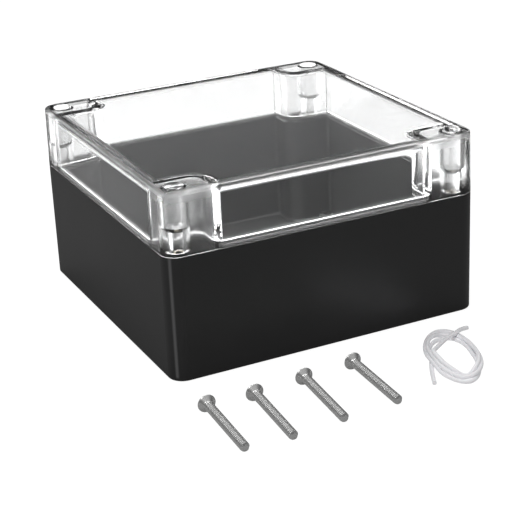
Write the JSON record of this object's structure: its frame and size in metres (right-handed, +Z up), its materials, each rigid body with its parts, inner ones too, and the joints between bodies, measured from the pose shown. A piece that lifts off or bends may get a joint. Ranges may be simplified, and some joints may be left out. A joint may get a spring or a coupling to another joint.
{
  "type": "plastic project box",
  "caption": "Black plastic box for electronics with a clear screw-down lid and a screw well in each corner; its countersunk lid screws and coiled sealing cord lie in front of it.",
  "frame": {"origin": "centre of the base's flat underside, on the surface that the box stands on", "axes": "+Z up through the lid, +X to the right along the front side, -Y towards the side that the loose screws and cord lie in front of"},
  "size_m": [0.1626, 0.2321, 0.09],
  "materials": {
    "base": "fine-grained black moulded ABS with a soft sheen",
    "lid": "clear polished polycarbonate",
    "insert": "turned brass",
    "screw": "bright zinc-plated steel",
    "cord": "pale smooth silicone cord"
  },
  "bodies": {
    "base": {"base_shell": "base", "threaded_insert_1": "insert", "threaded_insert_2": "insert", "threaded_insert_3": "insert", "threaded_insert_4": "insert", "lid_screw_1": "screw", "lid_screw_2": "screw", "lid_screw_3": "screw", "lid_screw_4": "screw", "seal_cord_coil": "cord", "seal_cord_end_1": "cord", "seal_cord_end_2": "cord"},
    "lid": {"lid_cover": "lid"}
  },
  "joints": [
    {"name": "lid_lift", "type": "slide", "parent": "base", "child": "lid", "axis": [0, 0, 1], "range_m": [0, 0.08]}
  ]
}
